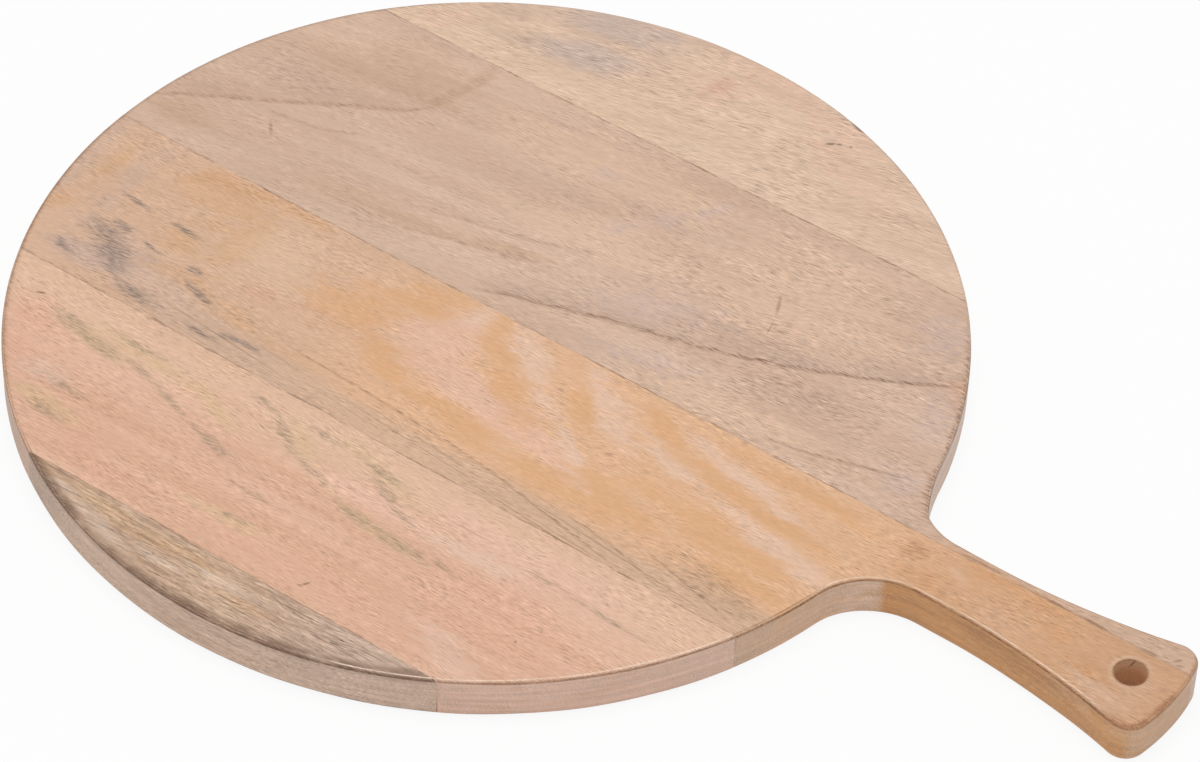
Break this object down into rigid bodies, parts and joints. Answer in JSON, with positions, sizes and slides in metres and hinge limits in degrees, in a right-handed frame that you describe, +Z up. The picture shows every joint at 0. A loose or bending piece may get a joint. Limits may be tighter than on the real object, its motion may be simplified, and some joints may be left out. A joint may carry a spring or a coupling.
{
  "type": "pizza serving board",
  "caption": "Round flat wooden serving board with a waisted handle, a hanging hole in the handle's tip and softly rounded edges, glued up from long staves.",
  "frame": {"origin": "centre of the round part on the underside", "axes": "+X along the handle towards its tip, +Z up through the board's thickness"},
  "size_m": [0.5095, 0.38, 0.0195],
  "materials": {
    "rear_wood": "satin oil",
    "wide_wood": "satin oil",
    "handle_wood": "satin oil",
    "front_wood": "satin oil",
    "rim_wood": "satin oil",
    "glue": "matte"
  },
  "bodies": {
    "root": {"stave_1_rear": "rear_wood", "stave_2_wide": "wide_wood", "stave_3_handle": "handle_wood", "stave_4_front": "front_wood", "stave_5_rim": "rim_wood", "glue_1_2": "glue", "glue_2_3": "glue", "glue_3_4": "glue", "glue_4_5": "glue"}
  },
  "joints": []
}
